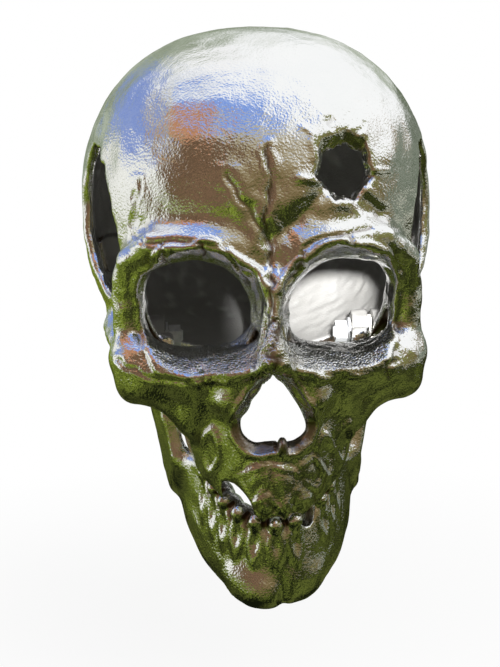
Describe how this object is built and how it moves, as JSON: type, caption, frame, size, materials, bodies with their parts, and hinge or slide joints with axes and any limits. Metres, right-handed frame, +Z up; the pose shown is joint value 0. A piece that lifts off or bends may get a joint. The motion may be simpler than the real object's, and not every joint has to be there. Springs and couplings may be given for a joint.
{
  "type": "skull decoration",
  "caption": "Hollow life-size skull decoration in polished cast metal with a hinged lower jaw, open eyes, nose and temples, hung on a wall by a keyhole plate in its flat back pad.",
  "frame": {"origin": "middle of the flat pad at the back of the head, where it bears on the wall", "axes": "+X to the viewer's right as one looks at the face, +Y out of the back towards the wall, +Z up"},
  "size_m": [0.146, 0.1901, 0.2223],
  "materials": {
    "casting": "mirror-polished casting with a fine pebbled skin",
    "steel": "zinc-plated steel",
    "nylon": "natural nylon"
  },
  "bodies": {
    "cranium": {"face_shell": "casting", "rear_shell": "casting", "shell_screw_upper_left": "steel", "shell_screw_upper_right": "steel", "shell_screw_lower_left": "steel", "shell_screw_lower_right": "steel", "hanger_plate": "steel", "hanger_screw_left": "steel", "hanger_screw_right": "steel", "pivot_bolt_left": "steel", "pivot_bolt_right": "steel", "pivot_washer_left": "steel", "pivot_washer_right": "steel", "pivot_nut_left": "steel", "pivot_nut_right": "steel"},
    "jaw": {"mandible": "casting", "pivot_bush_left": "nylon", "pivot_bush_right": "nylon"}
  },
  "joints": [
    {"name": "jaw_hinge", "type": "hinge", "parent": "cranium", "child": "jaw", "pos_m": [0, -0.095, -0.055], "axis": [1, 0, 0], "range_deg": [0, 28]}
  ]
}
